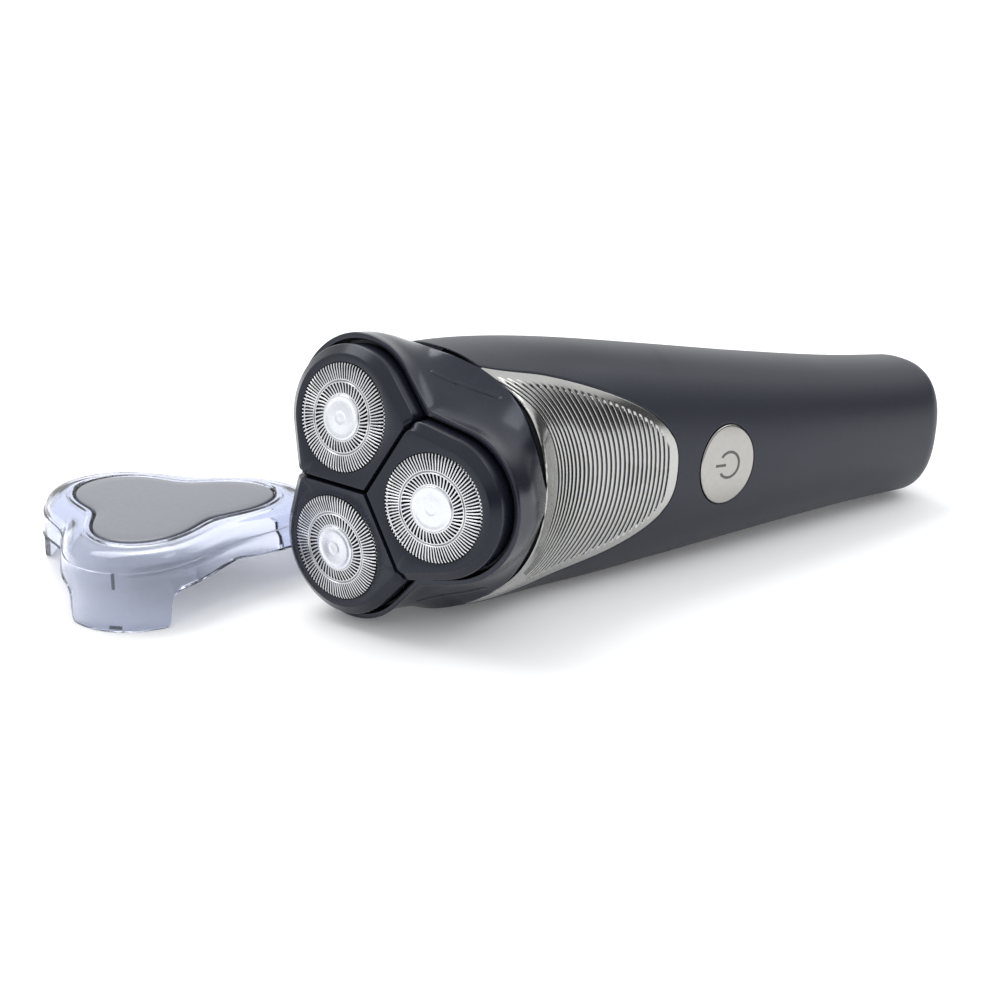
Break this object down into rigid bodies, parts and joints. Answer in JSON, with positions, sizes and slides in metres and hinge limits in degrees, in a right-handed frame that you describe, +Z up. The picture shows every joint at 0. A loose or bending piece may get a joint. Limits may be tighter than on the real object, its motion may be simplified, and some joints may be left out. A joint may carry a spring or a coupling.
{
  "type": "rotary electric shaver",
  "caption": "Cordless rotary electric shaver with floating cutters and a grooved metal plate, lying beside its clear lobed travel cap.",
  "frame": {"origin": "centre of the footprint of the lying shaver and its cap, on the table", "axes": "+X from the cutters towards the tail, -Y towards the button side, +Z up"},
  "size_m": [0.2097, 0.1171, 0.0608],
  "materials": {
    "body_black": "soft satin",
    "head_gloss": "glossy",
    "pod_plastic": "semi-gloss",
    "plate_chrome": "polished",
    "button_metal": "satin",
    "foil_steel": "polished",
    "disc_steel": "polished",
    "blade_steel": "ground",
    "rubber_black": "matte",
    "inner_plastic": "matte",
    "gear_plastic": "matte",
    "board_green": "matte",
    "switch_plastic": "matte",
    "led_white": "glossy",
    "cell_wrap": "glossy",
    "nickel": "plated",
    "cap_smoke": "clear, tinted",
    "cap_panel": "satin"
  },
  "bodies": {
    "handle": {"handle_front_shell": "body_black", "handle_rear_shell": "body_black", "grille_plate": "plate_chrome", "button_seal": "rubber_black", "inner_chassis": "inner_plastic", "circuit_board": "board_green", "tactile_switch": "switch_plastic", "charge_led": "led_white", "battery_cell": "cell_wrap", "battery_contacts": "nickel", "motor_can": "nickel", "motor_end_cap": "gear_plastic", "charging_socket": "nickel", "socket_seal": "rubber_black", "gear_housing": "inner_plastic", "gear_cover": "inner_plastic", "neck_seal": "rubber_black", "head_magnets": "nickel", "housing_screws": "nickel", "board_screws": "nickel", "spindle_boot_1": "rubber_black", "spindle_boot_2": "rubber_black", "spindle_boot_3": "rubber_black"},
    "power_button": {"power_button": "button_metal", "button_stem": "gear_plastic"},
    "motor_rotor": {"motor_shaft": "blade_steel", "motor_pinion": "gear_plastic"},
    "shaving_unit": {"head_cover": "head_gloss", "cutter_bracket": "inner_plastic", "head_catches": "blade_steel"},
    "bracket_knob": {"bracket_knob": "gear_plastic"},
    "cap": {"cap_shell": "cap_smoke", "cap_top_panel": "cap_panel"},
    "drive_1": {"drive_gear_1": "gear_plastic", "drive_spindle_1": "gear_plastic"},
    "pod_1": {"pod_shell_1": "pod_plastic", "cutter_foil_1": "foil_steel", "foil_cap_1": "disc_steel"},
    "blade_1": {"rotary_blade_1": "blade_steel", "blade_hub_1": "gear_plastic"},
    "drive_2": {"drive_gear_2": "gear_plastic", "drive_spindle_2": "gear_plastic"},
    "pod_2": {"pod_shell_2": "pod_plastic", "cutter_foil_2": "foil_steel", "foil_cap_2": "disc_steel"},
    "blade_2": {"rotary_blade_2": "blade_steel", "blade_hub_2": "gear_plastic"},
    "drive_3": {"drive_gear_3": "gear_plastic", "drive_spindle_3": "gear_plastic"},
    "pod_3": {"pod_shell_3": "pod_plastic", "cutter_foil_3": "foil_steel", "foil_cap_3": "disc_steel"},
    "blade_3": {"rotary_blade_3": "blade_steel", "blade_hub_3": "gear_plastic"}
  },
  "joints": [
    {"name": "power_press", "type": "slide", "parent": "handle", "child": "power_button", "axis": [0, 1, 0], "range_m": [0, 0.0006], "stiffness_N_per_m": 600},
    {"name": "shaving_unit_pull", "type": "slide", "parent": "handle", "child": "shaving_unit", "axis": [-0.9361, -0.342, 0.0819], "range_m": [0, 0.012]},
    {"name": "bracket_knob_turn", "type": "hinge", "parent": "shaving_unit", "child": "bracket_knob", "pos_m": [-0.04672, -0.02687, 0.03023], "axis": [-0.9361, -0.342, 0.0819], "range_deg": [0, 90]},
    {"name": "motor_spin", "type": "hinge", "parent": "handle", "child": "motor_rotor", "pos_m": [-0.03408, -0.02225, 0.02912], "axis": [-0.9361, -0.342, 0.0819], "continuous": true},
    {"name": "drive_spin_1", "type": "hinge", "parent": "handle", "child": "drive_1", "pos_m": [-0.02897, -0.03635, 0.02867], "axis": [-0.9361, -0.342, 0.0819], "continuous": true},
    {"name": "pod_tilt_1", "type": "hinge", "parent": "shaving_unit", "child": "pod_1", "pos_m": [-0.04762, -0.04346, 0.03031], "axis": [0.0872, 0, 0.9962], "range_deg": [-3, 3], "stiffness_Nm_per_rad": 0.5},
    {"name": "blade_spin_1", "type": "hinge", "parent": "pod_1", "child": "blade_1", "pos_m": [-0.04995, -0.0446, 0.03051], "axis": [-0.8954, -0.4384, 0.0783], "continuous": true},
    {"name": "drive_spin_2", "type": "hinge", "parent": "handle", "child": "drive_2", "pos_m": [-0.0355, -0.0152, 0.04229], "axis": [-0.9361, -0.342, 0.0819], "continuous": true},
    {"name": "pod_tilt_2", "type": "hinge", "parent": "shaving_unit", "child": "pod_2", "pos_m": [-0.05428, -0.02192, 0.04417], "axis": [-0.3386, 0.8138, -0.4723], "range_deg": [-3, 3], "stiffness_Nm_per_rad": 0.5},
    {"name": "blade_spin_2", "type": "hinge", "parent": "pod_2", "child": "blade_2", "pos_m": [-0.05672, -0.02268, 0.04462], "axis": [-0.9409, -0.291, 0.1732], "continuous": true},
    {"name": "drive_spin_3", "type": "hinge", "parent": "handle", "child": "drive_3", "pos_m": [-0.03777, -0.0152, 0.0164], "axis": [-0.9361, -0.342, 0.0819], "continuous": true},
    {"name": "pod_tilt_3", "type": "hinge", "parent": "shaving_unit", "child": "pod_3", "pos_m": [-0.05658, -0.02192, 0.01781], "axis": [0.2515, -0.8138, -0.5239], "range_deg": [-3, 3], "stiffness_Nm_per_rad": 0.5},
    {"name": "blade_spin_3", "type": "hinge", "parent": "pod_3", "child": "blade_3", "pos_m": [-0.05907, -0.02268, 0.01779], "axis": [-0.9567, -0.291, -0.0072], "continuous": true},
    {"name": "cap_lift", "type": "slide", "parent": "handle", "child": "cap", "axis": [0, 0, 1], "range_m": [0, 0.06]}
  ],
  "couplings": [
    {"joint": "motor_spin", "follows": "drive_spin_1", "ratio": -1.2222},
    {"joint": "blade_spin_1", "follows": "drive_spin_1", "ratio": 1},
    {"joint": "drive_spin_2", "follows": "drive_spin_1", "ratio": 1},
    {"joint": "blade_spin_2", "follows": "drive_spin_1", "ratio": 1},
    {"joint": "drive_spin_3", "follows": "drive_spin_1", "ratio": 1},
    {"joint": "blade_spin_3", "follows": "drive_spin_1", "ratio": 1}
  ]
}
